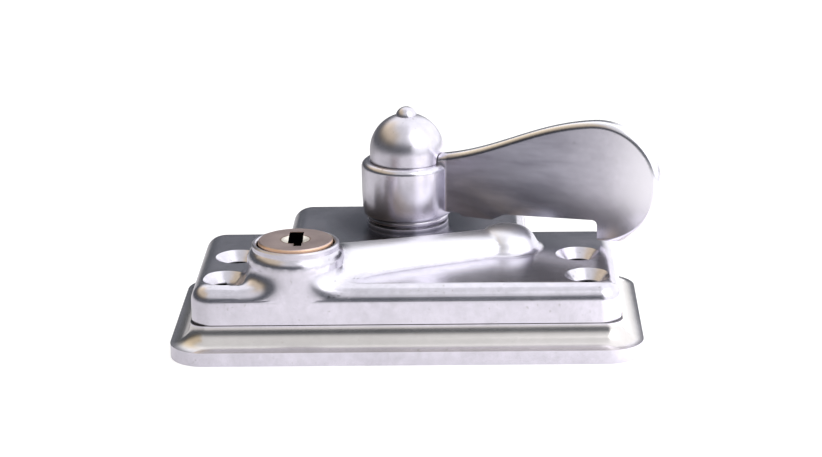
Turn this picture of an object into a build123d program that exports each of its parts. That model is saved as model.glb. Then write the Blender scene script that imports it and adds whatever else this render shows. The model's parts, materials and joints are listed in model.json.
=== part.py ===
"""Sash pivot lock: a keyed arm that swings over the keep of the other sash.

The origin is the centre of the base plate's long rectangle, on its underside.
+X runs to the right along the plate, +Y to the back and +Z up.
The arm is drawn unlocked, swung to the right and a little to the front.
"""
import os
from math import atan2, cos, degrees, radians, sin, sqrt

from build123d import *

# Base plate
PLATE_LENGTH = 87.3
PLATE_DEPTH = 44.6
PLATE_EDGE = 2.6
PLATE_CORNER = 6.9
COVE_RADIUS = 3.9
RIM_WIDTH = 0.15
PLATE_FLOOR = 2.4

# Case
CASE_HEIGHT = 7.05
CASE_CORNER = 4.0
TOP_FILLET = 3.15
CASE_WALL = 2.8
CASE_ROOF = 2.6
LEAST_CORNER = 0.5
TONGUE_HALF_WIDTH = 23.3
TONGUE_BEHIND_PIVOT = 13.8

# Wood screw holes, from the ends and the front of the case
SCREW_HOLE = 4.6
COUNTERSINK = 8.5
FRONT_HOLE_FROM_END = 6.1
FRONT_HOLE_FROM_FRONT = 6.75
BACK_HOLE_FROM_END = 7.4
BACK_HOLE_FROM_FRONT = 19.7
SCREW_PILLAR = 9.4

# Pivot
PIVOT_X = -0.5
PIVOT_BEHIND_WINGS = 4.65
JOURNAL = 7.94
SQUARE = 5.6
RUNNING_GAP = 0.06
SEAT_GAP = 0.03
SPINDLE_FOOT = 2.7
BEARING_BOSS = 15.0
BEARING_BOSS_FOOT = 7.5
WASHER_RADIUS = 7.95
WASHER_THICKNESS = 0.75

# Hub and cap
HUB_LIFT = 0.35
HUB_FOOT_RADIUS = 7.7
BEAD_HEIGHT = 1.1
BEAD_BULGE = 0.25
WAIST_RADIUS = 8.2
WAIST_HEIGHT = 2.4
HUB_RADIUS = 8.5
HUB_MIDDLE = 5.3
SHOULDER_RADIUS = 8.95
SHOULDER_ROUND = 1.2
HUB_HEIGHT = 12.9
LAND_INSET = 1.6
CAP_RADIUS = 7.25
CAP_HEIGHT = 22.1
CAP_SINK = 0.5
CAP_SPIGOT = 1.4
CAP_LEDGE = 1.2
CAP_GAP = 0.15
NUB_RADIUS = 2.1
NUB_HEIGHT = 23.5

# Arm
ARM_ANGLE = -22.0
BLADE_THICKNESS = 3.4
BLADE_EDGE_ROUND = 1.3
PADDLE_CENTRE = 40.2
PADDLE_RADIUS = 12.0
PADDLE_HEIGHT = 12.2
HOOK_FOOT = 1.1
HOOK_INNER = 40.0
HOOK_CORNER = 1.0
HEEL_HEIGHT = 2.9
HEEL_START = 11.6
HEEL_END = 18.4
REACH_HEIGHT = 4.2
REACH_RISE = 0.8
NECK_HEIGHT = 14.5
SPINE_MIDDLE = 1.0
SPINE_RISE = 4.4
CROWN_ANGLE = 97.0

# Cylinder boss, from the left end and the front of the case
CYLINDER_FROM_END = 19.2
CYLINDER_FROM_FRONT = 9.05
BOSS_RADIUS = 9.04
RIM_RADIUS = 8.1
BOSS_HEIGHT = 6.2
RIM_DEPTH = 1.1
RIM_SLOPE = 1.5
RIM_CHAMFER = 0.25
BOSS_FLARE = 1.6
SHELL_FLANGE_RADIUS = 7.25
SHELL_RADIUS = 6.9
FLANGE_DEPTH = 2.6
SHELL_TOP_DROP = 1.7
SHELL_FOOT = 8.6
BOSS_FOOT = 9.9
CLIP_THICKNESS = 0.8
CLIP_RIM = 0.7
SHELL_GROOVE = 0.4

# Plug
HEAD_RADIUS = 6.95
HEAD_THICKNESS = 1.5
HEAD_TOP = 6.66
PLUG_RADIUS = 6.0
DISH_RADIUS = 2.68
DISH_DEPTH = 0.9
KEY_SLOT_WIDTH = 2.66
KEY_SLOT_BACK = 4.6
LEDGE_BACK = 0.8
LEDGE_FRONT = 2.6
LEDGE_DROP = 1.2
LOWER_SLOT_WIDTH = 1.5
LOWER_SLOT_FRONT = 4.25
WAFER_COUNT = 4
WAFER_PITCH = 1.6
WAFER_THICKNESS = 0.8
WAFER_WIDTH = 5.4
WAFER_LENGTH = 10.0
FIRST_WAFER_DROP = 1.4
KEYWAY_FLOOR_DROP = 0.8
WINDOW_GAP = 0.2
WINDOW_STEP = 0.4

# Ridge and knob, the knob from the pivot
KNOB_RIGHT = 19.2
KNOB_FORWARD = 16.6
KNOB_FOOT_RADIUS = 7.4
KNOB_HEIGHT = 4.2
RIDGE_START = 0.08
RIDGE_WAIST = 0.6
RIDGE_BOSS_HALF_WIDTH = 8.2
RIDGE_WAIST_HALF_WIDTH = 6.0
RIDGE_KNOB_HALF_WIDTH = 6.2
RIDGE_BOSS_HEIGHT = 4.5
RIDGE_WAIST_HEIGHT = 3.8
RIDGE_KNOB_HEIGHT = 3.4
FLANK_REACH = 0.72
FLANK_RISE = 0.5
RIDGE_CORE_WIDTH = 5.0
RIDGE_CORE_HEIGHT = 1.5

# Locking works
DRIVE_RADIUS = 3.0
DRIVE_PIN = 2.0
PIN_GAP = 0.25
KEY_TURN = 90.0
PLUG_CAM_RADIUS = 5.0
PLUG_CAM_THICKNESS = 1.4
PLUG_CAM_FOOT = 7.0
TANG_WIDTH = 2.8
TANG_RISE = 0.6
CAM_SCREW = 2.0
CAM_SCREW_HEAD = 2.6
CAM_SCREW_COVER = 0.75
LEVER_FOOT = 4.0
LEVER_THICKNESS = 2.4
LEVER_WIDTH = 5.0
LEVER_EYE = 9.0
LEVER_PIN = 4.0
LEVER_PIN_SINK = 0.9
LEVER_BOSS = 8.0
LEVER_PLAY = 0.2
TOOTH_WIDTH = 3.0
TOOTH_GAP = 0.35
NOSE_OFFSET = 13.2
CAM_RADIUS = 10.2
CAM_THICKNESS = 2.7
CAM_FOOT = 3.9
SPINDLE_GROOVE = 1.0
SPINDLE_CLIP_RIM = 1.4
ARM_TRAVEL = 112.0
STOP_RADIUS = 7.0
STOP_PIN = 2.5
STOP_ANGLE = 50.0
STOP_GAP = 0.15

# Case screws
CASE_SCREW = 3.0
CASE_SCREW_HEAD = 5.8
CASE_SCREW_LENGTH = 8.0
CASE_PILLAR = 7.0
SCREW_INSET = 5.1
FRONT_SCREW_X = 5.0

# How far a cut or a weld runs past the face it starts from, and how near an edge lies to a plane
OVERRUN = 1.0
NEAR = 0.1

SETBACK = COVE_RADIUS + RIM_WIDTH
SEAM = PLATE_EDGE + COVE_RADIUS
TOP = SEAM + CASE_HEIGHT
ROOF = TOP - CASE_ROOF
CASE_LENGTH = PLATE_LENGTH - 2 * SETBACK
CASE_DEPTH = PLATE_DEPTH - 2 * SETBACK
END = CASE_LENGTH / 2
FRONT = -CASE_DEPTH / 2
PIVOT = Vector(PIVOT_X, PIVOT_BEHIND_WINGS - FRONT)
TONGUE_BACK = PIVOT.Y + TONGUE_BEHIND_PIVOT
TONGUE_FRONT = FRONT / 2
LEVER_TOP = LEVER_FOOT + LEVER_THICKNESS
HUB_FOOT = TOP + WASHER_THICKNESS + HUB_LIFT
BOSS_TOP = TOP + BOSS_HEIGHT
CYLINDER = Vector(CYLINDER_FROM_END - END, CYLINDER_FROM_FRONT + FRONT)
KNOB = PIVOT + Vector(KNOB_RIGHT, -KNOB_FORWARD)
TAIL = CYLINDER - KNOB
TAIL_ANGLE = degrees(atan2(TAIL.Y, TAIL.X))
HALF_DRIVE = radians(KEY_TURN / 2)
PIN_ASIDE = DRIVE_RADIUS * sin(HALF_DRIVE)
PIN_REACH = TAIL.length + DRIVE_RADIUS * cos(HALF_DRIVE)
HALF_SWING = degrees(atan2(PIN_ASIDE, PIN_REACH))
CASE_SCREW_SPOTS = [
    (END - SCREW_INSET, -FRONT - SCREW_INSET),
    (SCREW_INSET - END, -FRONT - SCREW_INSET),
    (PIVOT_X + TONGUE_HALF_WIDTH - SCREW_INSET, TONGUE_BACK - SCREW_INSET),
    (PIVOT_X - TONGUE_HALF_WIDTH + SCREW_INSET, TONGUE_BACK - SCREW_INSET),
    (FRONT_SCREW_X, FRONT + SCREW_INSET),
]
HOLE_SPOTS = [
    (END - FRONT_HOLE_FROM_END, FRONT + FRONT_HOLE_FROM_FRONT),
    (FRONT_HOLE_FROM_END - END, FRONT + FRONT_HOLE_FROM_FRONT),
    (END - BACK_HOLE_FROM_END, FRONT + BACK_HOLE_FROM_FRONT),
    (BACK_HOLE_FROM_END - END, FRONT + BACK_HOLE_FROM_FRONT),
]


def upright(spot, height=0):
    """The place of an upright axis, at one height."""
    place = Vector(spot)
    return Pos(place.X, place.Y, height)


def inset(radius):
    """How far the middle of a quarter round lies inside its corner, each way."""
    return radius * (1 - sin(radians(45)))


def disc(spot, radius, low, high):
    """A round solid about an upright axis, between two heights."""
    return upright(spot, low) * extrude(Circle(radius), amount=high - low)


def ring(spot, outer, inner, low, high):
    """A flat ring or a tube about an upright axis."""
    return upright(spot, low) * extrude(Circle(outer) - Circle(inner), amount=high - low)


def turned(spot, outline):
    """A turned solid: a closed outline of radius and height, spun about an upright axis."""
    face = make_face(Plane.XZ * Polyline(*outline, close=True))
    return upright(spot) * revolve(face, Axis.Z)


def long_outline(grow):
    """The rectangle of the two wings, grown or shrunk from the case's wall."""
    corner = max(CASE_CORNER + grow, LEAST_CORNER)
    return RectangleRounded(CASE_LENGTH + 2 * grow, CASE_DEPTH + 2 * grow, corner)


def tongue_outline(grow):
    """The rectangle that carries the pivot, from inside the wings to the back."""
    back = TONGUE_BACK + grow
    corner = max(CASE_CORNER + grow, LEAST_CORNER)
    face = RectangleRounded(2 * (TONGUE_HALF_WIDTH + grow), back - TONGUE_FRONT, corner)
    return Pos(PIVOT_X, (TONGUE_FRONT + back) / 2) * face


def cavity(low, high):
    """The hollow shared by the plate and the case, with the pillars left standing."""
    floor = long_outline(-CASE_WALL) + tongue_outline(-CASE_WALL)
    room = extrude(Pos(0, 0, low) * floor, amount=high - low)
    for spot in HOLE_SPOTS:
        room -= disc(spot, SCREW_PILLAR / 2, low - OVERRUN, high + OVERRUN)
    for spot in CASE_SCREW_SPOTS:
        room -= disc(spot, CASE_PILLAR / 2, low - OVERRUN, high + OVERRUN)
    return room


def countersunk(spot, low, high, hole, head):
    """A screw's space: a straight hole and a cone that opens at its upper end."""
    cone = (head - hole) / 2
    outline = [
        (0, low),
        (hole / 2, low),
        (hole / 2, high - cone),
        (head / 2, high),
        (head / 2, high + OVERRUN),
        (0, high + OVERRUN),
    ]
    return turned(spot, outline)


def case_screw(spot, gap):
    """One countersunk screw from beneath, or its hole when a gap is given."""
    shank = CASE_SCREW / 2 + gap
    head = CASE_SCREW_HEAD / 2 + gap
    length = CASE_SCREW_LENGTH + gap
    outline = [(0, 0), (head, 0), (shank, head - shank), (shank, length), (0, length)]
    return turned(spot, outline)


def plate_slab(outline):
    """One rectangle of the plate, with its cove cut all round."""
    slab = extrude(outline, amount=SEAM)
    rail = Pos(0, 0, SEAM) * outline
    path = rail.wires()[0]
    section = Plane(origin=path @ 0, z_dir=path % 0) * Circle(COVE_RADIUS)
    return slab - sweep(section, path=path)


def base_plate():
    """The moulded plate: vertical edge, hollow cove, rim, recess for the works."""
    wings = RectangleRounded(PLATE_LENGTH, PLATE_DEPTH, PLATE_CORNER)
    back = TONGUE_BACK + SETBACK
    tongue = RectangleRounded(2 * (TONGUE_HALF_WIDTH + SETBACK), back - TONGUE_FRONT, PLATE_CORNER)
    plate = plate_slab(wings) + plate_slab(Pos(PIVOT_X, (TONGUE_FRONT + back) / 2) * tongue)
    plate -= cavity(PLATE_FLOOR, SEAM + OVERRUN)
    bearing = disc(PIVOT, BEARING_BOSS / 2, 0, SPINDLE_FOOT)
    rest = disc(KNOB, LEVER_BOSS / 2, 0, LEVER_FOOT - LEVER_PLAY)
    plate += bearing + rest
    plate -= disc(KNOB, LEVER_PIN / 2 + SEAT_GAP, PLATE_FLOOR - LEVER_PIN_SINK, SEAM)
    for spot in HOLE_SPOTS:
        plate -= disc(spot, SCREW_HOLE / 2, -OVERRUN, SEAM + OVERRUN)
    for spot in CASE_SCREW_SPOTS:
        plate -= case_screw(spot, SEAT_GAP)
    return plate


def case_block(outline):
    """One rectangle of the case, with its top edge rounded."""
    block = Pos(0, 0, SEAM) * extrude(outline, amount=CASE_HEIGHT)
    return fillet(block.faces().sort_by(Axis.Z)[-1].edges(), TOP_FILLET)


def flank(half_width, height):
    """Half of a smooth hump: a flared foot, a rounded crest on the axis."""
    return Spline(
        (half_width, 0),
        (half_width * FLANK_REACH, height * FLANK_RISE),
        (0, height),
        tangents=[(-1, 0.1), (-1, 0)],
    )


def hump(share, half_width, height):
    """One section across the ridge, at a share of the way from the boss to the knob."""
    spot = CYLINDER - TAIL * share
    origin = (spot.X, spot.Y, TOP)
    plane = Plane(origin=origin, x_dir=(-TAIL.Y, TAIL.X, 0), z_dir=(TAIL.X, TAIL.Y, 0))
    right = flank(half_width, height)
    under = Polyline(
        (-half_width, 0),
        (-half_width, -CASE_ROOF / 2),
        (half_width, -CASE_ROOF / 2),
        (half_width, 0),
    )
    return plane * make_face(right + mirror(right, Plane.YZ) + under)


def ridge():
    """The hump that narrows from the cylinder boss to the knob."""
    return loft([
        hump(RIDGE_START, RIDGE_BOSS_HALF_WIDTH, RIDGE_BOSS_HEIGHT),
        hump(RIDGE_WAIST, RIDGE_WAIST_HALF_WIDTH, RIDGE_WAIST_HEIGHT),
        hump(1, RIDGE_KNOB_HALF_WIDTH, RIDGE_KNOB_HEIGHT),
    ])


def knob():
    """The soft round end of the ridge."""
    under = Polyline(
        (0, KNOB_HEIGHT),
        (0, -CASE_ROOF / 2),
        (KNOB_FOOT_RADIUS, -CASE_ROOF / 2),
        (KNOB_FOOT_RADIUS, 0),
    )
    face = make_face(Plane.XZ * (flank(KNOB_FOOT_RADIUS, KNOB_HEIGHT) + under))
    return upright(KNOB, TOP) * revolve(face, Axis.Z)


def boss():
    """The cylinder's boss: a stepped rim above, and a flared foot that stops at the case's wall."""
    foot = BOSS_RADIUS + BOSS_FLARE
    slope = (BOSS_RADIUS + RIM_RADIUS) / 2
    bend = inset(BOSS_FLARE)
    neck = (BOSS_RADIUS, TOP + BOSS_FLARE)
    flare = ThreePointArc((foot, TOP), (BOSS_RADIUS + bend, TOP + bend), neck)
    rest = Polyline(
        neck,
        (BOSS_RADIUS, BOSS_TOP - RIM_DEPTH - RIM_SLOPE),
        (slope, BOSS_TOP - RIM_SLOPE),
        (RIM_RADIUS, BOSS_TOP - RIM_DEPTH),
        (RIM_RADIUS, BOSS_TOP - RIM_CHAMFER),
        (RIM_RADIUS - RIM_CHAMFER, BOSS_TOP),
        (0, BOSS_TOP),
        (0, TOP - TOP_FILLET),
        (BOSS_RADIUS, TOP - TOP_FILLET),
        (foot, TOP),
    )
    solid = upright(CYLINDER) * revolve(make_face(Plane.XZ * (flare + rest)), Axis.Z)
    return solid & Pos(0, 0, SEAM) * extrude(long_outline(0), amount=BOSS_TOP)


def lock_body():
    """The case: wings, tongue, boss, ridge and knob in one casting, hollow beneath."""
    middle = (KNOB + CYLINDER) / 2
    case = case_block(long_outline(0)) + case_block(tongue_outline(0))
    case += ridge() + knob() + boss()
    case -= cavity(SEAM - OVERRUN, ROOF)
    core = SlotCenterToCenter(TAIL.length - 2 * BOSS_RADIUS, RIDGE_CORE_WIDTH)
    core = Pos(middle.X, middle.Y, ROOF - OVERRUN) * Rot(0, 0, TAIL_ANGLE) * core
    case -= extrude(core, amount=TOP + RIDGE_CORE_HEIGHT - ROOF + OVERRUN)
    case += disc(PIVOT, BEARING_BOSS / 2, BEARING_BOSS_FOOT, ROOF + OVERRUN)
    case += disc(KNOB, LEVER_BOSS / 2, LEVER_TOP + LEVER_PLAY, TOP + OVERRUN)
    case += disc(CYLINDER, BOSS_RADIUS, BOSS_FOOT, ROOF)
    case -= disc(CYLINDER, SHELL_RADIUS + SEAT_GAP, BOSS_FOOT - OVERRUN, BOSS_TOP + OVERRUN)
    case -= disc(CYLINDER, SHELL_RADIUS + CLIP_RIM + LEVER_PLAY, SEAM - OVERRUN, BOSS_FOOT)
    seat = BOSS_TOP - SHELL_TOP_DROP - FLANGE_DEPTH - SEAT_GAP
    mouth = SHELL_FLANGE_RADIUS + SEAT_GAP
    case -= countersunk(CYLINDER, seat, BOSS_TOP, 2 * mouth, 2 * (mouth + RIM_CHAMFER))
    case -= disc(PIVOT, JOURNAL / 2 + RUNNING_GAP, BEARING_BOSS_FOOT - OVERRUN, TOP + OVERRUN)
    case -= disc(KNOB, LEVER_PIN / 2 + SEAT_GAP, LEVER_TOP - OVERRUN, TOP)
    pin_top = ROOF + CASE_ROOF / 2
    case -= disc(stop_spot(), STOP_PIN / 2 + SEAT_GAP, BEARING_BOSS_FOOT - OVERRUN, pin_top)
    for spot in HOLE_SPOTS:
        case -= countersunk(spot, SEAM - OVERRUN, TOP, SCREW_HOLE, COUNTERSINK)
    for spot in CASE_SCREW_SPOTS:
        case -= case_screw(spot, SEAT_GAP)
    return case


def stop_spot():
    """Where the stop pin stands in the cam's curved slot."""
    angle = radians(STOP_ANGLE)
    return PIVOT + Vector(STOP_RADIUS * cos(angle), STOP_RADIUS * sin(angle))


def thrust_washer():
    """The flat washer under the hub."""
    return ring(PIVOT, WASHER_RADIUS, JOURNAL / 2 + RUNNING_GAP, TOP, TOP + WASHER_THICKNESS)


def square_hole(low, high, gap):
    """The spindle's square, with its corners turned to the journal's size."""
    shape = Rot(0, 0, ARM_ANGLE) * Rectangle(SQUARE + 2 * gap, SQUARE + 2 * gap)
    shape = shape & Circle(JOURNAL / 2 + gap)
    return Pos(PIVOT.X, PIVOT.Y, low) * extrude(shape, amount=high - low)


def blade():
    """The paddle blade with its stepped lower edge and its hook."""
    drop = PADDLE_HEIGHT - HOOK_FOOT
    end_angle = atan2(-drop, sqrt(PADDLE_RADIUS**2 - drop**2))
    crown = radians(CROWN_ANGLE)

    def rim(angle):
        out, up = PADDLE_RADIUS * cos(angle), PADDLE_RADIUS * sin(angle)
        return (PADDLE_CENTRE + out, PADDLE_HEIGHT + up)

    inside = JOURNAL / 2 + OVERRUN
    neck = (inside, NECK_HEIGHT)
    step = REACH_HEIGHT - HEEL_HEIGHT
    chamfer_size = step / 2
    reach_end = REACH_HEIGHT + REACH_RISE
    lower = Polyline(
        neck,
        (inside, HEEL_HEIGHT + chamfer_size),
        (HEEL_START, HEEL_HEIGHT + chamfer_size),
        (HEEL_START + chamfer_size, HEEL_HEIGHT),
        (HEEL_END, HEEL_HEIGHT),
        (HEEL_END + 2 * step, REACH_HEIGHT),
        (HOOK_INNER, reach_end),
        (HOOK_INNER, HOOK_FOOT),
        rim(end_angle),
    )
    edge = ThreePointArc(rim(end_angle), rim((end_angle + crown) / 2), rim(crown))
    top = Spline(
        rim(crown),
        (PADDLE_CENTRE / 2 + SPINE_MIDDLE, NECK_HEIGHT + SPINE_RISE),
        neck,
        tangents=[(-sin(crown), cos(crown)), (-1, -0.1)],
    )
    face = make_face(Plane.XZ * (lower + edge + top))
    solid = extrude(face, amount=BLADE_THICKNESS / 2, both=True)
    corner = solid.edges().filter_by(Axis.Y).filter_by(
        lambda e: abs(e.center().X - HOOK_INNER) < NEAR and e.center().Z > HOOK_FOOT + OVERRUN
    )
    solid = fillet(corner, HOOK_CORNER)
    rounded = solid.edges().filter_by(
        lambda e: abs(e.center().Y) > NEAR
        and e.center().Z > reach_end + HOOK_CORNER / 2
        and e.center().X > HEEL_START
    )
    return fillet(rounded, BLADE_EDGE_ROUND)


def hub():
    """The barrel hub, turned: a bead at the foot, a full waist and a rounded shoulder."""
    foot = HUB_FOOT - TOP
    bead = foot + BEAD_HEIGHT
    wall = ThreePointArc(
        (HUB_FOOT_RADIUS, foot),
        (HUB_FOOT_RADIUS + BEAD_BULGE, foot + BEAD_HEIGHT / 2),
        (HUB_FOOT_RADIUS, bead),
    )
    barrel = Spline(
        (HUB_FOOT_RADIUS, bead),
        (WAIST_RADIUS, WAIST_HEIGHT),
        (HUB_RADIUS, HUB_MIDDLE),
        (SHOULDER_RADIUS, HUB_HEIGHT - SHOULDER_ROUND),
        tangents=[(1, 1), (0, 1)],
    )
    bend = inset(SHOULDER_ROUND)
    shoulder = ThreePointArc(
        (SHOULDER_RADIUS, HUB_HEIGHT - SHOULDER_ROUND),
        (SHOULDER_RADIUS - bend, HUB_HEIGHT - bend),
        (SHOULDER_RADIUS - SHOULDER_ROUND, HUB_HEIGHT),
    )
    rest = Polyline(
        (SHOULDER_RADIUS - SHOULDER_ROUND, HUB_HEIGHT),
        (0, HUB_HEIGHT),
        (0, foot),
        (HUB_FOOT_RADIUS, foot),
    )
    return revolve(make_face(Plane.XZ * (wall + barrel + shoulder + rest)), Axis.Z)


def pivot_arm():
    """The arm: hub and blade in one casting, bored for the spindle and the cap."""
    arm = hub() + blade()
    arm = Pos(PIVOT.X, PIVOT.Y, TOP) * Rot(0, 0, ARM_ANGLE) * arm
    arm += disc(PIVOT, WASHER_RADIUS - LAND_INSET, TOP + WASHER_THICKNESS, HUB_FOOT + HUB_LIFT)
    seat = TOP + HUB_HEIGHT - CAP_SINK
    arm -= square_hole(TOP, TOP + HUB_HEIGHT + OVERRUN, SEAT_GAP)
    arm -= disc(PIVOT, CAP_RADIUS + CAP_GAP, seat, TOP + CAP_HEIGHT)
    spigot = CAP_RADIUS - CAP_LEDGE + SEAT_GAP
    arm -= disc(PIVOT, spigot, seat - CAP_SPIGOT - SEAT_GAP, seat + OVERRUN)
    return arm


def dome_cap():
    """The domed cap, its spigot seated in the hub."""
    base = HUB_HEIGHT - CAP_SINK
    high = CAP_HEIGHT
    skirt = high - base - CAP_RADIUS
    dome = CenterArc((0, base + skirt), CAP_RADIUS, 0, 90)
    side = Polyline(
        (0, high),
        (0, base - CAP_SPIGOT),
        (CAP_RADIUS - CAP_LEDGE, base - CAP_SPIGOT),
        (CAP_RADIUS - CAP_LEDGE, base),
        (CAP_RADIUS, base),
        (CAP_RADIUS, base + skirt),
    )
    bore = Pos(0, base) * Rectangle(2 * (NUB_RADIUS + SEAT_GAP), 4 * high)
    face = make_face(dome + side) - bore
    return Pos(PIVOT.X, PIVOT.Y, TOP) * revolve(Plane.XZ * face, Axis.Z)


def pivot_spindle():
    """The spindle: rounded nub, square for the hub and the cam, round journal."""
    nub_base = NUB_HEIGHT - NUB_RADIUS
    tip = Pos(PIVOT.X, PIVOT.Y, TOP + nub_base) * Sphere(NUB_RADIUS)
    square_top = TOP + HUB_HEIGHT - CAP_SINK - CAP_SPIGOT - SEAT_GAP
    spindle = tip + disc(PIVOT, NUB_RADIUS, square_top - OVERRUN, TOP + nub_base)
    spindle += square_hole(TOP + WASHER_THICKNESS, square_top, 0)
    spindle += disc(PIVOT, JOURNAL / 2, BEARING_BOSS_FOOT, TOP + WASHER_THICKNESS)
    spindle += square_hole(SPINDLE_FOOT, BEARING_BOSS_FOOT, 0)
    groove = ring(PIVOT, JOURNAL, JOURNAL / 2 - SPINDLE_GROOVE, CAM_FOOT - CLIP_THICKNESS, CAM_FOOT)
    return spindle - groove


def notch(angle):
    """One notch in the rim of the locking cam."""
    reach = CAM_RADIUS - tooth_travel()
    box = Pos(reach + CAM_RADIUS / 2, 0) * Rectangle(CAM_RADIUS, TOOTH_WIDTH + 2 * TOOTH_GAP)
    return Rot(0, 0, angle) * box


def nose_geometry():
    """The tooth's angle on the cam's rim, the nose arm's length and heading."""
    span = PIVOT - KNOB
    reach = sqrt(span.length**2 - NOSE_OFFSET**2)
    heading = atan2(span.Y, span.X) + atan2(NOSE_OFFSET, reach)
    corner = KNOB + Vector(reach * cos(heading), reach * sin(heading))
    tooth = corner - PIVOT
    return degrees(atan2(tooth.Y, tooth.X)), reach, degrees(heading)


def tooth_travel():
    """How far the tooth moves in and out as the key turns, and so the notch's depth."""
    return nose_geometry()[1] * radians(2 * HALF_SWING)


def locking_cam():
    """The disc on the spindle's square, with two notches and a curved stop slot."""
    face = Circle(CAM_RADIUS)
    tooth_angle = nose_geometry()[0]
    face -= notch(tooth_angle)
    face -= notch(tooth_angle - ARM_TRAVEL)
    width = STOP_PIN + 2 * STOP_GAP
    slot = SlotArc(CenterArc((0, 0), STOP_RADIUS, STOP_ANGLE - ARM_TRAVEL, ARM_TRAVEL), width)
    face -= slot
    cam = Pos(PIVOT.X, PIVOT.Y, CAM_FOOT) * extrude(face, amount=CAM_THICKNESS)
    return cam - square_hole(CAM_FOOT - OVERRUN, CAM_FOOT + CAM_THICKNESS + OVERRUN, SEAT_GAP)


def wave_washer():
    """The washer between the bearing boss and the cam, pressed flat."""
    outer = STOP_RADIUS - STOP_PIN / 2 - TOOTH_GAP
    return ring(PIVOT, outer, JOURNAL / 2 + RUNNING_GAP, CAM_FOOT + CAM_THICKNESS, BEARING_BOSS_FOOT)


def spindle_circlip():
    """The clip in the spindle's groove, under the cam."""
    inner = JOURNAL / 2 - SPINDLE_GROOVE + SEAT_GAP
    clip = Circle(JOURNAL / 2 + SPINDLE_CLIP_RIM) - Circle(inner)
    clip -= Pos(0, -JOURNAL / 2) * Rectangle(inner, JOURNAL)
    return Pos(PIVOT.X, PIVOT.Y, CAM_FOOT - CLIP_THICKNESS) * extrude(clip, amount=CLIP_THICKNESS)


def stop_pin():
    """The pin that ends the arm's travel."""
    return disc(stop_spot(), STOP_PIN / 2, CAM_FOOT, ROOF + CASE_ROOF / 2)


def cylinder_shell():
    """The flanged shell that the plug turns in, with a groove for its clip."""
    high = BOSS_TOP - SHELL_TOP_DROP
    shell = disc(CYLINDER, SHELL_FLANGE_RADIUS, high - FLANGE_DEPTH, high)
    shell += disc(CYLINDER, SHELL_RADIUS, SHELL_FOOT, high)
    shell -= disc(CYLINDER, PLUG_RADIUS + RUNNING_GAP, SHELL_FOOT - OVERRUN, high + OVERRUN)
    inner = SHELL_RADIUS - SHELL_GROOVE
    groove = ring(CYLINDER, SHELL_RADIUS + OVERRUN, inner, BOSS_FOOT - CLIP_THICKNESS, BOSS_FOOT)
    return shell - groove


def cylinder_circlip():
    """The clip that holds the shell under the boss."""
    inner = SHELL_RADIUS - SHELL_GROOVE + SEAT_GAP
    clip = Circle(SHELL_RADIUS + CLIP_RIM) - Circle(inner)
    clip -= Pos(SHELL_RADIUS, 0) * Rectangle(SHELL_RADIUS, inner)
    return Pos(CYLINDER.X, CYLINDER.Y, BOSS_FOOT - CLIP_THICKNESS) * extrude(clip, amount=CLIP_THICKNESS)


def wafer_height(index):
    """The underside of one wafer."""
    top = TOP + HEAD_TOP - HEAD_THICKNESS - FIRST_WAFER_DROP
    return top - index * WAFER_PITCH - WAFER_THICKNESS


def keyway_floor():
    """Where the keyway ends, under the last wafer."""
    return wafer_height(WAFER_COUNT - 1) - KEYWAY_FLOOR_DROP


def key_slot(front, back, width, floor):
    """One slot of the keyway, flush with its right side."""
    high = TOP + HEAD_TOP
    place = Pos(CYLINDER.X + (KEY_SLOT_WIDTH - width) / 2, CYLINDER.Y + (front + back) / 2, floor)
    return place * extrude(Rectangle(width, back - front), amount=high + OVERRUN - floor)


def key_plug():
    """The plug: dished head, stepped keyway, wafer slots and the tang under it."""
    high = TOP + HEAD_TOP
    neck = high - HEAD_THICKNESS
    floor = keyway_floor()
    plug = disc(CYLINDER, HEAD_RADIUS, neck, high)
    plug = chamfer(plug.edges().sort_by(Axis.Z)[-1], RIM_CHAMFER)
    plug += disc(CYLINDER, PLUG_RADIUS, PLUG_CAM_FOOT + PLUG_CAM_THICKNESS, neck)
    tang = Pos(CYLINDER.X, CYLINDER.Y, PLUG_CAM_FOOT + TANG_RISE) * Rectangle(TANG_WIDTH, TANG_WIDTH)
    plug += extrude(tang, amount=PLUG_CAM_THICKNESS)
    plug -= turned(CYLINDER, [(0, high - DISH_DEPTH), (DISH_RADIUS, high), (0, high)])
    plug -= key_slot(-LEDGE_BACK, KEY_SLOT_BACK, KEY_SLOT_WIDTH, floor)
    plug -= key_slot(-LEDGE_FRONT, -LEDGE_BACK, KEY_SLOT_WIDTH, high - LEDGE_DROP)
    plug -= key_slot(-LOWER_SLOT_FRONT, -LEDGE_FRONT, LOWER_SLOT_WIDTH, floor)
    for index in range(WAFER_COUNT):
        slot = Rectangle(WAFER_WIDTH + 2 * SEAT_GAP, WAFER_LENGTH + 2 * SEAT_GAP)
        cut = extrude(slot, amount=WAFER_THICKNESS + 2 * SEAT_GAP)
        plug -= Pos(CYLINDER.X, CYLINDER.Y, wafer_height(index) - SEAT_GAP) * cut
    return plug - disc(CYLINDER, CAM_SCREW / 2, PLUG_CAM_FOOT, cam_screw_tip())


def wafer(index):
    """One wafer with its key window, held flush as a key holds it."""
    plate = Rectangle(WAFER_WIDTH, WAFER_LENGTH)
    length = WAFER_LENGTH / 2 + WINDOW_STEP * (index % 3)
    window = Rectangle(KEY_SLOT_WIDTH + 2 * WINDOW_GAP, length)
    plate -= Pos(0, WINDOW_GAP * (1 - index % 2)) * window
    return Pos(CYLINDER.X, CYLINDER.Y, wafer_height(index)) * extrude(plate, amount=WAFER_THICKNESS)


def drive_spot():
    """Where the drive pin stands when the lock is unlocked."""
    angle = radians(TAIL_ANGLE + KEY_TURN / 2)
    return CYLINDER + Vector(DRIVE_RADIUS * cos(angle), DRIVE_RADIUS * sin(angle))


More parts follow.
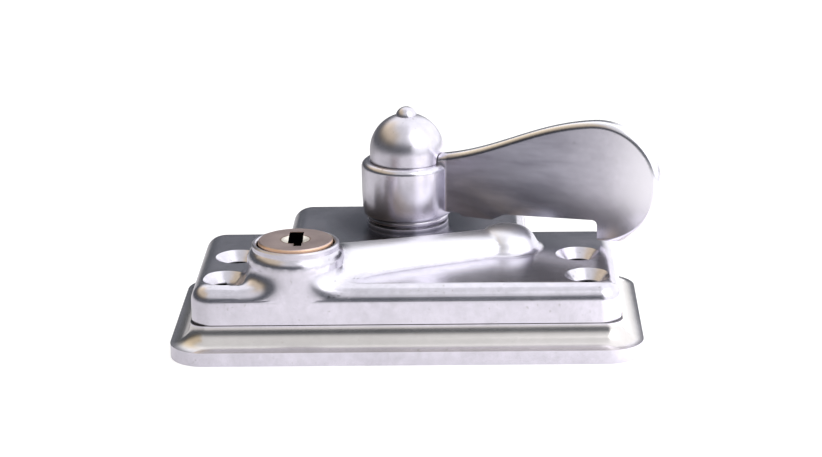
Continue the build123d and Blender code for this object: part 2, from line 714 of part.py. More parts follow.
def plug_cam():
    """The cam plate on the plug's tang, with its drive pin pointing down."""
    cam = disc(CYLINDER, PLUG_CAM_RADIUS, PLUG_CAM_FOOT, PLUG_CAM_FOOT + PLUG_CAM_THICKNESS)
    cam += disc(drive_spot(), DRIVE_PIN / 2, LEVER_FOOT, PLUG_CAM_FOOT)
    side = TANG_WIDTH + 2 * SEAT_GAP
    socket = Pos(CYLINDER.X, CYLINDER.Y, PLUG_CAM_FOOT + TANG_RISE) * Rectangle(side, side)
    cam -= extrude(socket, amount=PLUG_CAM_THICKNESS)
    return cam - cam_screw_shape(SEAT_GAP)


def cam_screw_tip():
    """The screw's upper end, a cover of metal below the keyway."""
    return keyway_floor() - CAM_SCREW_COVER


def cam_screw_shape(gap):
    """The flush screw up into the plug, or its hole when a gap is given."""
    foot = PLUG_CAM_FOOT
    shank = CAM_SCREW / 2 - SEAT_GAP + gap
    head = CAM_SCREW_HEAD / 2 - SEAT_GAP + gap
    tip = cam_screw_tip() - SEAT_GAP + gap
    outline = [
        (0, foot),
        (head, foot),
        (head, foot + TANG_RISE / 2),
        (shank, foot + TANG_RISE),
        (shank, tip),
        (0, tip),
    ]
    return turned(CYLINDER, outline)


def cam_screw():
    """The flush screw that holds the plug cam."""
    return cam_screw_shape(0)


def locking_lever():
    """The two-armed lever, drawn locked and then swung back to its unlocked place."""
    tooth_angle, reach, heading = nose_geometry()
    pin_reach = TAIL.length + DRIVE_RADIUS * (1 + cos(HALF_DRIVE)) / 2
    locked_tail = TAIL_ANGLE - HALF_SWING
    face = Circle(LEVER_EYE / 2)
    tail = Pos(pin_reach / 2, 0) * SlotCenterToCenter(pin_reach, LEVER_WIDTH)
    face += Rot(0, 0, locked_tail) * tail
    nose = Pos(reach / 2, 0) * SlotCenterToCenter(reach, LEVER_WIDTH)
    face += Rot(0, 0, heading) * nose
    web = Pos(reach / 4, 0) * SlotCenterToCenter(reach / 2, LEVER_WIDTH)
    face += Rot(0, 0, (heading + locked_tail % 360) / 2) * web
    tooth_tip = CAM_RADIUS - tooth_travel() + TOOTH_GAP
    tooth = Rectangle(NOSE_OFFSET - tooth_tip, TOOTH_WIDTH)
    tooth = Pos((NOSE_OFFSET + tooth_tip) / 2, 0) * tooth
    face += Pos(PIVOT.X - KNOB.X, PIVOT.Y - KNOB.Y) * Rot(0, 0, tooth_angle) * tooth
    face -= Circle(LEVER_PIN / 2 + RUNNING_GAP)
    slot = SlotCenterToCenter(DRIVE_RADIUS * (1 - cos(HALF_DRIVE)), DRIVE_PIN + 2 * PIN_GAP)
    face -= Rot(0, 0, locked_tail) * Pos(pin_reach, 0) * slot
    lever = extrude(Rot(0, 0, 2 * HALF_SWING) * face, amount=LEVER_THICKNESS)
    return Pos(KNOB.X, KNOB.Y, LEVER_FOOT) * lever


def lever_pin():
    """The pin that the lever turns on, from the plate up into the knob."""
    return disc(KNOB, LEVER_PIN / 2, PLATE_FLOOR - LEVER_PIN_SINK, TOP)


def case_screws():
    """The screws that hold the plate to the case, as one group."""
    return Compound(children=[case_screw(spot, 0) for spot in CASE_SCREW_SPOTS])


def write(shape, name):
    """Writes one node."""
    export_step(shape, f"parts/{name}.step")


def main():
    """Builds and writes every node."""
    os.makedirs("parts", exist_ok=True)
    makers = [
        base_plate, lock_body, case_screws, thrust_washer, pivot_arm, dome_cap, pivot_spindle,
        locking_cam, wave_washer, spindle_circlip, stop_pin, cylinder_shell, cylinder_circlip,
        key_plug, plug_cam, cam_screw, locking_lever, lever_pin,
    ]
    for maker in makers:
        write(maker(), maker.__name__)
    for index in range(WAFER_COUNT):
        write(wafer(index), f"wafer_{index + 1}")


main()
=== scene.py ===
"""Looks of the sash pivot lock: satin castings, a warm nickel plug and brass works on a pale floor."""
import json
import math

import bmesh
import bpy
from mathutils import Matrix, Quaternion, Vector

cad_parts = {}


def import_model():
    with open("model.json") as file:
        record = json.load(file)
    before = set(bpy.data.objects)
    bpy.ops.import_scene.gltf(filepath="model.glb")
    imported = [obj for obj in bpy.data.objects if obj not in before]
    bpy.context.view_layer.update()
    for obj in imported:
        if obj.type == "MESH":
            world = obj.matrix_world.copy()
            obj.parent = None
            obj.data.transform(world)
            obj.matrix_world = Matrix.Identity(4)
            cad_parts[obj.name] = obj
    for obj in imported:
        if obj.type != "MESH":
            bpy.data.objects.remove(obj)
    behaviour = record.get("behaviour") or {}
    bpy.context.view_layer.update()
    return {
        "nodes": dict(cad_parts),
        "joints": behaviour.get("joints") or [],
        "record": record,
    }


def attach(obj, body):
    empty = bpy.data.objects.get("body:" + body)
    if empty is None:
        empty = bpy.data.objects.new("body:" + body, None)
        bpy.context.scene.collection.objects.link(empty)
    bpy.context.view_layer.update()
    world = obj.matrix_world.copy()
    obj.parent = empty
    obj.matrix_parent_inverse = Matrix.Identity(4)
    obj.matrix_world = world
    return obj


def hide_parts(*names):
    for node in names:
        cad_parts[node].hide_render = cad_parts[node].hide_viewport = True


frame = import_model()

# The scene is in metres, and the sizes below are in millimetres
MM = 0.001
MERGE = 0.002


def upright_axis(joint):
    """Where a joint's axis stands, as the frame has it."""
    row = next(row for row in frame["joints"] if row["name"] == joint)
    return [value / MM for value in row["pos_m"]]


def screw_holes(mount):
    """How far to the side and to the back a pair of screw holes lies, as the frame has it."""
    row = next(row for row in frame["record"]["mounts"] if row["name"] == mount)
    return row["dims"]["spacing_x_mm"] / 2, row["pos_m"][1] / MM


# The arm: its pivot on the case's top, how far it is turned and half its blade's thickness
PIVOT_X, PIVOT_Y, TOP = upright_axis("arm_turn")
ARM_ANGLE = math.radians(-22)
BLADE_SIDE = 1.7

# The plate and the case: edge, seam, underside of the roof, front wall, cylinder boss and screw holes
PLATE_EDGE = 2.6
SEAM = PLATE_EDGE + 3.9
ROOF = TOP - 2.6
CASE_FRONT = -18.25
BOSS_RADIUS = 9.04
BOSS_BORE = 7.3
BOSS_TOP = TOP + 6.2
FRONT_HOLE = screw_holes("front_screws")
BACK_HOLE = screw_holes("back_screws")
# Radius out to which the screw holes' mouths get painted shade
HOLE_MOUTH = 2.6

# The key plug: its axis, its face and coppery edge, the dish, the keyway and the ledge in it
PLUG_X, PLUG_Y, _ = upright_axis("plug_turn")
PLUG_TOP = TOP + 6.66
PLUG_EDGE = 6.83
DISH_RADIUS = 2.68
SLOT_HALF_WIDTH = 1.33
SLOT_BACK = 4.6
SLOT_FRONT = -4.25
LEDGE_BACK = -0.8
LEDGE_FRONT = -2.6
LEDGE_TOP = PLUG_TOP - 1.2

# The boss's foot on the seen case: where it is smoothed, from the boss's wall, the roof and the front
FOOT_INSET = 0.15
FOOT_REACH = 4.2
FOOT_LOW = ROOF - 1
FOOT_SKIN = ROOF + 0.3
FOOT_HIGH = ROOF + 5
FOOT_WALL = CASE_FRONT + 1

# The same foot's edges: longest and shortest, how often they are halved and how often corners are smoothed
FOOT_LONGEST = 0.8
FOOT_SHORTEST = 0.3
FOOT_HALVINGS = 7
FOOT_SMOOTHINGS = 45
LEAST_SQUARE = 1e-12

# Below this angle two faces are shaded as one, in degrees
SMOOTH_ANGLE = 32

# Depth of the grain on the chrome and the nickel
GRAIN_DEPTH = 0.02

# Chrome on all the castings
CHROME_DARK = (0.63, 0.61, 0.67, 1)
CHROME_PALE = (0.80, 0.77, 0.85, 1)
CHROME_SPECK = (0.40, 0.38, 0.38, 1)

# Chrome on the case, the plate and the cap: its shades, with a painted highlight on the ridge, a painted warm
# reflection in the cove and painted shade round the pivot, in the seam and in the holes, and the heights and
# reaches over which they set in
RIDGE_PAINTED_HIGHLIGHT = (0.90, 0.89, 0.94, 1)
COVE_PAINTED_REFLECTION = (0.72, 0.68, 0.61, 1)
PIVOT_PAINTED_SHADE = (0.12, 0.12, 0.16, 1)
SEAM_PAINTED_SHADE = (0.05, 0.045, 0.04, 1)
HOLE_PAINTED_SHADE = (0.012, 0.012, 0.014, 1)
COVE_START = (PLATE_EDGE - 0.2, PLATE_EDGE + 0.4)
COVE_END = (SEAM - 0.6, SEAM)
SEAM_SIDE = 0.09
RIDGE_START = (TOP + 0.3, TOP + 1.2)
RIDGE_END = (TOP + 5, TOP + 5.5)
RIDGE_FROM_BOSS = (BOSS_RADIUS, BOSS_RADIUS + 2)
PIVOT_SHADE_START = (TOP - 0.4, TOP - 0.1)
PIVOT_SHADE_END = (TOP + 0.05, TOP + 0.7)
PIVOT_SHADE_REACH = (9, 19)
MOUTH_SIDE = (HOLE_MOUTH - 0.25, HOLE_MOUTH)
BORE_SIDE = (BOSS_BORE, BOSS_BORE + 0.05)
BORE_END = (BOSS_TOP - 0.3, BOSS_TOP - 0.2)

# Chrome on the arm: its shades, with painted shade on the paddle and on the hub's foot and painted highlights
# on the spine and the tip, and where they set in along the arm, to its side, across and in height
PADDLE_PAINTED_SHADE_DARK = (0.28, 0.275, 0.33, 1)
PADDLE_PAINTED_SHADE_LIGHT = (0.40, 0.395, 0.46, 1)
SPINE_PAINTED_HIGHLIGHT = (0.93, 0.92, 0.97, 1)
HUB_PAINTED_SHADE = (0.09, 0.085, 0.10, 1)
TIP_PAINTED_HIGHLIGHT = (0.96, 0.94, 0.99, 1)
BLADE_FLAT = (BLADE_SIDE - 0.5, BLADE_SIDE - 0.08)
PADDLE_SHADE_START = (8.6, 9.3)
PADDLE_SHADE_END = (26, 50)
SPINE_START = (9.5, 13)
TIP_START = (40, 52)
HUB_SHADE_END = (5, 9)
HUB_SHADE_RIGHT = (-6, 3)
HUB_SHADE_TOP = (15.5, 23)

# Nickel on the key plug: its shades, with a painted highlight in the dish and painted shade round the dish's
# rim and in the keyway, and where they set in
NICKEL_DARK = (0.54, 0.42, 0.40, 1)
NICKEL_PALE = (0.67, 0.54, 0.51, 1)
PLUG_COPPER = (0.85, 0.58, 0.40, 1)
DISH_PAINTED_HIGHLIGHT = (0.93, 0.88, 0.80, 1)
DISH_RIM_PAINTED_SHADE = (0.38, 0.24, 0.17, 1)
KEYWAY_PAINTED_SHADE = (0.008, 0.008, 0.008, 1)
LEDGE_BRASS = (0.80, 0.56, 0.30, 1)
COPPER_START = (PLUG_EDGE, PLUG_EDGE + 0.15)
DISH_END = (DISH_RADIUS - 0.1, DISH_RADIUS)
BROWN_END = (DISH_RADIUS + 0.1, DISH_RADIUS + 0.3)
SLOT_SIDE = (SLOT_HALF_WIDTH + 0.01, SLOT_HALF_WIDTH + 0.05)
SLOT_START = (SLOT_FRONT - 0.1, SLOT_FRONT)
SLOT_END = (SLOT_BACK + 0.02, SLOT_BACK + 0.1)
SLOT_TOP = (PLUG_TOP - 0.15, PLUG_TOP - 0.1)
LEDGE_START = (LEDGE_FRONT - 0.2, LEDGE_FRONT - 0.1)
LEDGE_END = (LEDGE_BACK, LEDGE_BACK + 0.1)
LEDGE_FLOOR = (LEDGE_TOP - 0.6, LEDGE_TOP - 0.4)

# Hidden works
BRASS_DARK = (0.66, 0.45, 0.18, 1)
BRASS_PALE = (0.80, 0.60, 0.30, 1)
STEEL_DARK = (0.42, 0.42, 0.44, 1)
STEEL_PALE = (0.56, 0.56, 0.58, 1)

# Camera: place, direction, roll in degrees, lens, and the nearest and farthest that it sees
CAMERA_PLACE = Vector((14.61, -460.05, 160.63)) * MM
CAMERA_AIM = Vector((-0.02881, 0.95548, -0.29366))
CAMERA_ROLL = -1.035
CAMERA_LENS = 112.06
CAMERA_NEAR = 10
CAMERA_FAR = 10000

# Room: strengths of its dim middle, its bright ceiling and a long window on the right, and their shades
EYE_LEVEL = 0.12
CEILING = 1.0
WINDOW = 1.4
SHADE_BLUE = (0.80, 0.88, 1.0, 1)
DAYLIGHT = (0.97, 0.98, 1.0, 1)
WARM_LIGHT = (0.86, 0.73, 0.53, 1)
WHITE = (1, 1, 1, 1)

# Room: the window's direction, and between which parts of a ray's direction each thing sets in
WINDOW_RIGHT = 0.996
WINDOW_BACK = 0.087
WINDOW_EDGE = (0.15, 0.45)
CEILING_EDGE = (0.36, 0.66)
CEILING_BACK = (0.1, 0.8)
WARM_LEFT = (0.35, 0.85)
WARM_LOW = (0.2, 0.5)
WARM_HIGH = (0.8, 0.95)
LEAST_LEVEL = 0.05

# Floor: its size, its own grey, what the camera sees and what the metal reflects from near to far
FLOOR_SIZE = 6000
FLOOR_GREY = (0.35, 0.35, 0.35, 1)
FLOOR_SEEN = 0.8
FLOOR_NEAR = (0.98, 0.96, 1.0, 1)
FLOOR_FAR = (0.105, 0.115, 0.135, 1)
FLOOR_FADE = (100, 350)
LEFT_GLOW = 0.42
MIDDLE_GLOW = 0.27
RIGHT_GLOW = 0.8
MIDDLE_START = (-65, -18)
RIGHT_START = (28, 60)
SHADOW = 0.75
SHADOW_START = (45, 100)
SHADOW_RIGHT = (10, 60)

# Key lamp at the front right: place, what it points at, side of its square and power in watts
KEY_PLACE = Vector((700, -700, 900)) * MM
KEY_AIM = Vector((0, 10, 15)) * MM
KEY_SIZE = 1000
KEY_POWER = 4


def feed(tree, socket, value):
    """Links a value to a socket, or sets it there if it is a plain one."""
    if isinstance(value, Socket):
        tree.links.new(value.link, socket)
    else:
        socket.default_value = value


def add_node(tree, kind, settings, inputs, output=0):
    """Adds a node, sets its settings first and then feeds its inputs, and gives one output."""
    made = tree.nodes.new(kind)
    for name, value in settings.items():
        if name == "stops":
            set_stops(made.color_ramp.elements, value)
        else:
            setattr(made, name, value)
    for key, value in inputs.items():
        feed(tree, made.inputs[key], value)
    return Socket(tree, made.outputs[output])


def set_stops(ramp, stops):
    """Gives a colour ramp its stops, each a place and a shade."""
    while len(ramp) < len(stops):
        ramp.new(0.5)
    for stop, (place, shade) in zip(ramp, stops):
        stop.position = place
        stop.color = shade


class Socket:
    """A value in a material, on which Python's operators add Math nodes."""

    def __init__(self, tree, link):
        self.tree = tree
        self.link = link

    def _math(self, operation, *values):
        return add_node(self.tree, "ShaderNodeMath", {"operation": operation}, dict(enumerate(values)))

    def __add__(self, other):
        return self._math("ADD", self, other)

    __radd__ = __add__

    def __sub__(self, other):
        return self._math("SUBTRACT", self, other)

    def __rsub__(self, other):
        return self._math("SUBTRACT", other, self)

    def __mul__(self, other):
        return self._math("MULTIPLY", self, other)

    __rmul__ = __mul__

    def __truediv__(self, other):
        return self._math("DIVIDE", self, other)

    def __pow__(self, other):
        return self._math("POWER", self, other)

    def __abs__(self):
        return self._math("ABSOLUTE", self)

    def greatest(self, other):
        return self._math("MAXIMUM", self, other)

    def least(self, other):
        return self._math("MINIMUM", self, other)

    def rises(self, low, high):
        """Goes smoothly from 0 at one value to 1 at the other."""
        settings = {"interpolation_type": "SMOOTHSTEP"}
        inputs = {"Value": self, "From Min": low, "From Max": high}
        return add_node(self.tree, "ShaderNodeMapRange", settings, inputs)

    def falls(self, low, high):
        """Goes smoothly from 1 at one value to 0 at the other."""
        return 1 - self.rises(low, high)

    def clamped(self):
        return add_node(self.tree, "ShaderNodeClamp", {}, {0: self})


class Nodes:
    """A tree of shader nodes, with short ways to add to it."""

    def __init__(self, tree):
        self.tree = tree

    def node(self, kind, settings, inputs, output=0):
        return add_node(self.tree, kind, settings, inputs, output)

    def place(self, stretch=(1, 1, 1)):
        """The point's own place on the object, stretched for a pattern."""
        coordinates = self.node("ShaderNodeTexCoord", {}, {}, "Object")
        return self.node("ShaderNodeMapping", {}, {"Vector": coordinates, "Scale": stretch})

    def split(self, vector):
        """The three parts of a vector."""
        first = self.node("ShaderNodeSeparateXYZ", {}, {0: vector})
        return [Socket(self.tree, output) for output in first.link.node.outputs]

    def millimetres(self):
        """How far across, along and up the point is, in millimetres."""
        return self.split(self.place((1 / MM, 1 / MM, 1 / MM)))

    def noise(self, scale, detail, roughness, stretch=(1, 1, 1)):
        inputs = {"Vector": self.place(stretch), "Scale": scale, "Detail": detail, "Roughness": roughness}
        return self.node("ShaderNodeTexNoise", {}, inputs)

    def ramp(self, value, *stops):
        return self.node("ShaderNodeValToRGB", {"stops": stops}, {"Fac": value})

    def mix(self, amount, first, second):
        return self.node("ShaderNodeMix", {"data_type": "RGBA"}, {0: amount, 6: first, 7: second}, 2)

    def bump(self, height, strength):
        inputs = {"Height": height, "Strength": strength, "Distance": GRAIN_DEPTH * MM}
        return self.node("ShaderNodeBump", {}, inputs)

    def join(self, kind, *inputs):
        """Adds a node that joins shaders, in the order of its inputs."""
        return self.node(kind, {}, dict(enumerate(inputs)))

    def ray(self, kind):
        """Is 1 for one kind of ray."""
        return self.node("ShaderNodeLightPath", {}, {}, kind)


class Finish(Nodes):
    """One procedural material."""

    def __init__(self, name):
        self.material = bpy.data.materials.new(name)
        self.material.use_nodes = True
        super().__init__(self.material.node_tree)
        self.shader = self.tree.nodes["Principled BSDF"]

    def set(self, values):
        """Feeds the finish's own shader and gives the material."""
        for name, value in values.items():
            feed(self.tree, self.shader.inputs[name], value)
        return self.material


def distance(first, second):
    """How far a point is from an upright axis, from its two offsets."""
    return (first * first + second * second) ** 0.5


def chrome_parts(finish):
    """The tone, the roughness and the grain that all the chrome castings share."""
    grain = finish.noise(scale=2600, detail=2, roughness=0.6)
    cloud = finish.noise(scale=60, detail=4, roughness=0.55)
    mottle = finish.noise(scale=520, detail=4, roughness=0.65)
    speck = finish.noise(scale=900, detail=2, roughness=0.7).rises(0.66, 0.74)
    scuff = finish.noise(scale=1500, detail=3, roughness=0.6, stretch=(0.12, 1, 1))
    tone = finish.ramp(0.55 * cloud + 0.45 * mottle, (0.35, CHROME_DARK), (0.65, CHROME_PALE))
    tone = finish.mix(0.45 * speck, tone, CHROME_SPECK)
    roughness = (0.17 + 0.09 * cloud + 0.05 * grain).clamped()
    return tone, roughness, 0.6 * grain + 0.4 * scuff


def satin_chrome():
    """Fine satin chrome on a zinc casting: a cool grey with a faint grain, with painted shade in the seam,
    the holes and round the pivot, a painted highlight on the ridge and a painted warm reflection in the cove.
    """
    finish = Finish("satin_chrome")
    tone, roughness, grain = chrome_parts(finish)
    across, along, up = finish.millimetres()
    from_plug = distance(across - PLUG_X, along - PLUG_Y)
    from_pivot = distance(across - PIVOT_X, along - PIVOT_Y)
    from_front, from_back = (distance(abs(across) - x, along - y) for x, y in (FRONT_HOLE, BACK_HOLE))
    dome = up.rises(*RIDGE_END)
    # Painted highlight on the ridge's upper flank, away from the boss
    ridge = (up.rises(*RIDGE_START) - dome) * from_plug.rises(*RIDGE_FROM_BOSS)
    # Painted warm reflection in the plate's cove
    cove = up.rises(*COVE_START) * up.falls(*COVE_END)
    # Painted shade on the case's top round the hub's foot
    painted_pivot_shade = from_pivot.falls(*PIVOT_SHADE_REACH) * up.rises(*PIVOT_SHADE_START) * up.falls(*PIVOT_SHADE_END)
    # Painted shade along the seam between the plate and the case
    seam = ((up - SEAM) ** 2).falls(0, SEAM_SIDE ** 2)
    # Painted shade in the mouths of the screw holes and inside the bore
    mouth = from_front.least(from_back).falls(*MOUTH_SIDE)
    bore = from_plug.falls(*BORE_SIDE) * up.falls(*BORE_END)
    hole = mouth.greatest(bore)
    # Mixes the painted highlight, the painted reflection and the painted shades into the tone
    tone = finish.mix(0.8 * ridge, tone, RIDGE_PAINTED_HIGHLIGHT)
    tone = finish.mix(0.6 * cove, tone, COVE_PAINTED_REFLECTION)
    tone = finish.mix(0.75 * painted_pivot_shade, tone, PIVOT_PAINTED_SHADE)
    tone = finish.mix(0.85 * seam, tone, SEAM_PAINTED_SHADE)
    tone = finish.mix(hole, tone, HOLE_PAINTED_SHADE)
    roughness = (roughness + 0.16 * ridge + 0.06 * dome + 0.5 * hole).clamped()
    normal = finish.bump(grain, strength=0.12)
    return finish.set({"Base Color": tone, "Metallic": 1.0, "Roughness": roughness, "Normal": normal})


def paddle_chrome():
    """The arm's chrome: painted shade darkens its flat paddle towards the hub and the hub's foot, and painted
    highlights lighten its top edge and its tip.
    """
    finish = Finish("paddle_chrome")
    tone, roughness, grain = chrome_parts(finish)
    across, along, up = finish.millimetres()
    right, back = across - PIVOT_X, along - PIVOT_Y
    reach = right * math.cos(ARM_ANGLE) + back * math.sin(ARM_ANGLE)
    aside = back * math.cos(ARM_ANGLE) - right * math.sin(ARM_ANGLE)
    flat = abs(aside).rises(*BLADE_FLAT)
    # Painted shade on the paddle's flats, darkest near the hub
    painted_paddle_shade = flat * reach.rises(*PADDLE_SHADE_START) * reach.falls(*PADDLE_SHADE_END)
    # Painted highlight along the arm's rounded top edge
    spine = (1 - flat) * reach.rises(*SPINE_START)
    # Painted shade on the hub's foot, less on its right
    painted_hub_shade = up.falls(*HUB_SHADE_TOP) * reach.falls(*HUB_SHADE_END)
    painted_hub_shade = painted_hub_shade * (1 - 0.8 * across.rises(*HUB_SHADE_RIGHT))
    brushed = finish.noise(scale=500, detail=3, roughness=0.6, stretch=(0.25, 0.25, 1))
    # The paddle's painted shade, varied by the brushed noise
    dark = finish.ramp(brushed, (0.3, PADDLE_PAINTED_SHADE_DARK), (0.7, PADDLE_PAINTED_SHADE_LIGHT))
    tone = finish.mix(painted_paddle_shade, tone, dark)
    tone = finish.mix(0.9 * spine, tone, SPINE_PAINTED_HIGHLIGHT)
    tone = finish.mix(painted_hub_shade * (0.75 + 0.3 * brushed), tone, HUB_PAINTED_SHADE)
    # Painted highlight towards the arm's tip
    tone = finish.mix(reach.rises(*TIP_START), tone, TIP_PAINTED_HIGHLIGHT)
    normal = finish.bump(grain, strength=0.12)
    return finish.set({"Base Color": tone, "Metallic": 1.0, "Roughness": roughness, "Normal": normal})


def warm_nickel():
    """Satin nickel on the key plug: a coppery edge, a dish with a painted highlight and painted shade round
    its rim, and a keyway darkened with painted shade.
    """
    finish = Finish("warm_nickel")
    grain = finish.noise(scale=2200, detail=3, roughness=0.6)
    cloud = finish.noise(scale=220, detail=4, roughness=0.6)
    across, along, up = finish.millimetres()
    right, back = across - PLUG_X, along - PLUG_Y
    radius = distance(right, back)
    edge = (radius + 0.15 * grain).rises(*COPPER_START)
    # The dish gets a painted highlight
    dish = radius.falls(*DISH_END)
    # Painted shade round the dish's rim
    rim = (1 - dish) * radius.falls(*BROWN_END)
    slot = abs(right).falls(*SLOT_SIDE) * back.rises(*SLOT_START) * back.falls(*SLOT_END)
    # Painted shade inside the keyway
    deep = slot * up.falls(*SLOT_TOP)
    ledge = deep * back.rises(*LEDGE_START) * back.falls(*LEDGE_END) * up.rises(*LEDGE_FLOOR)
    tone = finish.ramp(cloud, (0.3, NICKEL_DARK), (0.75, NICKEL_PALE))
    tone = finish.mix(edge, tone, PLUG_COPPER)
    tone = finish.mix(dish, tone, DISH_PAINTED_HIGHLIGHT)
    tone = finish.mix(0.8 * rim, tone, DISH_RIM_PAINTED_SHADE)
    tone = finish.mix(deep, tone, KEYWAY_PAINTED_SHADE)
    tone = finish.mix(ledge, tone, LEDGE_BRASS)
    # The dish is less metallic, so that its painted highlight shows pale
    metallic = (1 - 0.6 * dish * (1 - deep) - ledge).clamped()
    roughness = (0.32 + 0.12 * cloud - 0.1 * dish).clamped()
    normal = finish.bump(grain, strength=0.15)
    return finish.set({"Base Color": tone, "Metallic": metallic, "Roughness": roughness, "Normal": normal})


def machined_brass():
    """Turned brass, for the shell and the wafers."""
    finish = Finish("machined_brass")
    cloud = finish.noise(scale=300, detail=4, roughness=0.6)
    tone = finish.ramp(cloud, (0.3, BRASS_DARK), (0.75, BRASS_PALE))
    return finish.set({"Base Color": tone, "Metallic": 1.0, "Roughness": (0.24 + 0.14 * cloud).clamped()})


def plain_steel():
    """Zinc plated steel, for the hidden works."""
    finish = Finish("plain_steel")
    cloud = finish.noise(scale=260, detail=4, roughness=0.6)
    tone = finish.ramp(cloud, (0.3, STEEL_DARK), (0.75, STEEL_PALE))
    return finish.set({"Base Color": tone, "Metallic": 1.0, "Roughness": (0.32 + 0.14 * cloud).clamped()})


def dress(piece, material):
    """Gives a piece one material."""
    piece.data.materials.clear()
    piece.data.materials.append(material)


def select_only(piece):
    """Makes one piece the only selected one, and active."""
    bpy.ops.object.select_all(action="DESELECT")
    piece.select_set(True)
    bpy.context.view_layer.objects.active = piece


def copy_of(node, name):
    """A merged copy of a CAD node, with its corners' normals cleared."""
    source = frame["nodes"][node]
    piece = source.copy()
    piece.data = source.data.copy()
    piece.name = name
    piece.data.name = name
    piece.parent = None
    for key in list(piece.keys()):
        del piece[key]
    bpy.context.scene.collection.objects.link(piece)
    select_only(piece)
    bpy.ops.object.mode_set(mode="EDIT")
    bpy.ops.mesh.select_all(action="SELECT")
    bpy.ops.mesh.remove_doubles(threshold=MERGE * MM)
    bpy.ops.mesh.customdata_custom_splitnormals_clear()
    bpy.ops.object.mode_set(mode="OBJECT")
    return piece


def by_boss_foot(point):
    """Whether a point is on the case's outer skin round the front of the boss's foot."""
    x, y, z = point / MM
    away = math.hypot(x - PLUG_X, y - PLUG_Y)
    in_ring = BOSS_RADIUS - FOOT_INSET < away < BOSS_RADIUS + FOOT_REACH and y < PLUG_Y
    on_top = FOOT_SKIN < z < FOOT_HIGH
    on_wall = y < FOOT_WALL and FOOT_LOW < z <= FOOT_SKIN
    return in_ring and (on_top or on_wall)


def is_long_by_foot(edge):
    """Whether an edge by the boss's foot is too long, tried at its ends, its middle and nearest the axis."""
    start, end = (corner.co for corner in edge.verts)
    run = end - start
    axis = Vector((PLUG_X, PLUG_Y, 0)) * MM
    share = (axis - start).xy.dot(run.xy) / max(run.xy.length_squared, LEAST_SQUARE)
    nearest = start + min(max(share, 0), 1) * run
    near = any(by_boss_foot(point) for point in (nearest, start, end, start + run / 2))
    return near and edge.calc_length() > FOOT_LONGEST * MM


def divide_foot(piece):
    """Halves the long edges round the boss's foot until its faces are small."""
    bpy.ops.mesh.select_mode(type="EDGE")
    for _ in range(FOOT_HALVINGS):
        bpy.ops.mesh.select_all(action="DESELECT")
        mesh = bmesh.from_edit_mesh(piece.data)
        for edge in mesh.edges:
            edge.select = is_long_by_foot(edge)
        bmesh.update_edit_mesh(piece.data)
        bpy.ops.mesh.subdivide(number_cuts=1)
        bpy.ops.mesh.select_all(action="SELECT")
        bpy.ops.mesh.quads_convert_to_tris(quad_method="SHORTEST_DIAGONAL", ngon_method="BEAUTY")


def select_foot(piece, lowest):
    """Selects the corners round the boss's foot that are above a height."""
    mesh = bmesh.from_edit_mesh(piece.data)
    for corner in mesh.verts:
        corner.select = by_boss_foot(corner.co) and corner.co.z > lowest * MM
    bmesh.update_edit_mesh(piece.data)


def blend_boss_foot(piece):
    """Smooths the front of the boss's foot into the case's wall: finer faces, then moved corners."""
    select_only(piece)
    bpy.ops.object.mode_set(mode="EDIT")
    divide_foot(piece)
    bpy.ops.mesh.select_mode(type="VERT")
    bpy.ops.mesh.select_all(action="DESELECT")
    select_foot(piece, FOOT_SKIN)
    bpy.ops.mesh.remove_doubles(threshold=FOOT_SHORTEST * MM)
    select_foot(piece, FOOT_LOW)
    bpy.ops.mesh.vertices_smooth(factor=0.5, repeat=FOOT_SMOOTHINGS)
    bpy.ops.mesh.select_all(action="DESELECT")
    bpy.ops.object.mode_set(mode="OBJECT")


def finish_casting(piece, node, body, material):
    """Shades a casting smoothly and puts it in its node's place."""
    select_only(piece)
    bpy.ops.object.shade_smooth_by_angle(angle=math.radians(SMOOTH_ANGLE))
    weighted = piece.modifiers.new("weighted", "WEIGHTED_NORMAL")
    weighted.keep_sharp = True
    bpy.ops.object.modifier_apply(modifier=weighted.name)
    dress(piece, material)
    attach(piece, body)
    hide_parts(node)


def camera():
    """The photograph's camera."""
    data = bpy.data.cameras.new("camera")
    data.lens = CAMERA_LENS
    data.clip_start = CAMERA_NEAR * MM
    data.clip_end = CAMERA_FAR * MM
    item = bpy.data.objects.new("camera", data)
    bpy.context.scene.collection.objects.link(item)
    item.rotation_mode = "QUATERNION"
    roll = Quaternion((0, 0, 1), math.radians(CAMERA_ROLL))
    item.rotation_quaternion = CAMERA_AIM.to_track_quat("-Z", "Y") @ roll
    item.location = CAMERA_PLACE
    bpy.context.scene.camera = item


def floor():
    """A wide pale floor: white to the camera, and to the metal dimmer towards the left and far away."""
    bpy.ops.mesh.primitive_plane_add(size=FLOOR_SIZE * MM, location=(0, 0, 0))
    item = bpy.context.object
    item.name = "floor"
    finish = Finish("pale_floor")
    finish.set({"Base Color": FLOOR_GREY, "Roughness": 0.9})
    across, along, _ = finish.millimetres()
    shade = finish.mix(distance(across, along).rises(*FLOOR_FADE), FLOOR_NEAR, FLOOR_FAR)
    glow = LEFT_GLOW + MIDDLE_GLOW * across.rises(*MIDDLE_START) + RIGHT_GLOW * across.rises(*RIGHT_START)
    glow = glow * (1 - SHADOW * along.rises(*SHADOW_START) * across.falls(*SHADOW_RIGHT))
    none = finish.node("ShaderNodeEmission", {}, {"Strength": 0.0})
    mirrored = finish.node("ShaderNodeEmission", {}, {"Color": shade, "Strength": glow})
    plain = finish.node("ShaderNodeEmission", {}, {"Strength": FLOOR_SEEN})
    light = finish.join("ShaderNodeMixShader", finish.ray("Is Glossy Ray"), none, mirrored)
    light = finish.join("ShaderNodeMixShader", finish.ray("Is Camera Ray"), light, plain)
    body = Socket(finish.tree, finish.shader.outputs[0])
    both = finish.join("ShaderNodeAddShader", body, light)
    feed(finish.tree, finish.tree.nodes["Material Output"].inputs["Surface"], both)
    dress(item, finish.material)


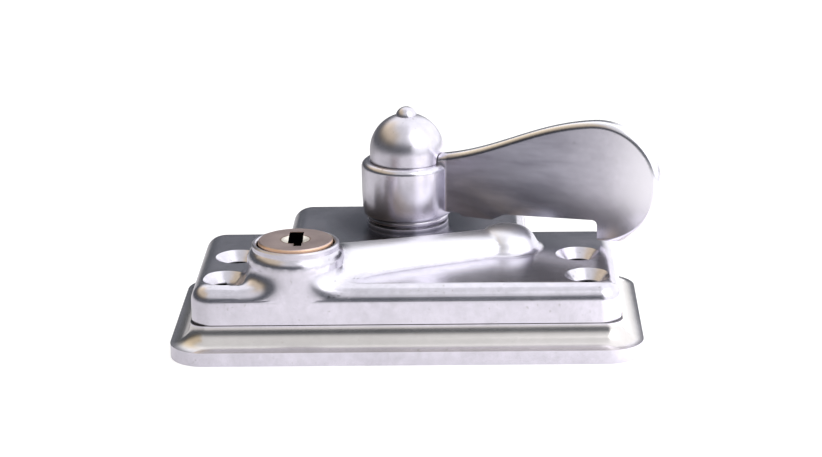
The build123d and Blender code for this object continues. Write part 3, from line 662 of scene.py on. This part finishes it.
def world():
    """A grey room: bright above, warmer on the left, a long window on the right, and white to the camera."""
    scene_world = bpy.data.worlds.new("room")
    bpy.context.scene.world = scene_world
    scene_world.use_nodes = True
    nodes = Nodes(scene_world.node_tree)
    right, back, up = nodes.split(nodes.node("ShaderNodeTexCoord", {}, {}, "Generated"))
    level = (1 - up * up).greatest(LEAST_LEVEL) ** 0.5
    window = ((WINDOW_RIGHT * right + WINDOW_BACK * back) / level).rises(*WINDOW_EDGE)
    ceiling = up.rises(*CEILING_EDGE) * (0.7 + 0.45 * (back / level).rises(*CEILING_BACK))
    warm = (0 - right / level).rises(*WARM_LEFT) * up.rises(*WARM_LOW) * up.falls(*WARM_HIGH)
    strength = (EYE_LEVEL + CEILING * ceiling).greatest(WINDOW * window)
    cool = nodes.mix(strength.rises(EYE_LEVEL, 3 * EYE_LEVEL), SHADE_BLUE, DAYLIGHT)
    tint = nodes.mix(warm, cool, WARM_LIGHT)
    room = nodes.node("ShaderNodeBackground", {}, {"Color": tint, "Strength": strength})
    white = nodes.node("ShaderNodeBackground", {}, {"Color": WHITE, "Strength": 1.0})
    seen = nodes.join("ShaderNodeMixShader", nodes.ray("Is Camera Ray"), room, white)
    feed(nodes.tree, nodes.tree.nodes["World Output"].inputs["Surface"], seen)


def key_lamp():
    """A broad soft key from the front right."""
    data = bpy.data.lights.new("key", "AREA")
    data.shape = "SQUARE"
    data.size = KEY_SIZE * MM
    data.energy = KEY_POWER
    item = bpy.data.objects.new("key", data)
    item.location = KEY_PLACE
    item.rotation_mode = "QUATERNION"
    item.rotation_quaternion = (KEY_AIM - KEY_PLACE).to_track_quat("-Z", "Y")
    bpy.context.scene.collection.objects.link(item)


def main():
    """Dresses the part and sets it on its stage."""
    bpy.context.scene.view_settings.view_transform = "Standard"
    chrome = satin_chrome()
    nickel = warm_nickel()
    brass = machined_brass()
    steel = plain_steel()
    by_slot = {"satin_zinc": chrome, "bright_nickel": nickel, "brass": brass, "steel": steel}
    slots = {row["node"]: row["material_slot"] for row in frame["record"]["subparts"]}
    for name, item in frame["nodes"].items():
        dress(item, by_slot[slots[name]])
    castings = [
        ("base_plate", "moulded_plate", "case", "satin_zinc", chrome),
        ("lock_body", "lock_case", "case", "satin_zinc", chrome),
        ("thrust_washer", "hub_washer", "case", "satin_zinc", chrome),
        ("pivot_arm", "paddle_arm", "arm", "satin_zinc", paddle_chrome()),
        ("dome_cap", "domed_cap", "arm", "satin_zinc", chrome),
        ("pivot_spindle", "spindle", "arm", "satin_zinc", chrome),
        ("key_plug", "plug", "plug", "bright_nickel", nickel),
    ]
    for node, name, body, slot, material in castings:
        piece = copy_of(node, name)
        if node == "lock_body":
            blend_boss_foot(piece)
        finish_casting(piece, node, body, material)
    camera()
    floor()
    world()
    key_lamp()


main()
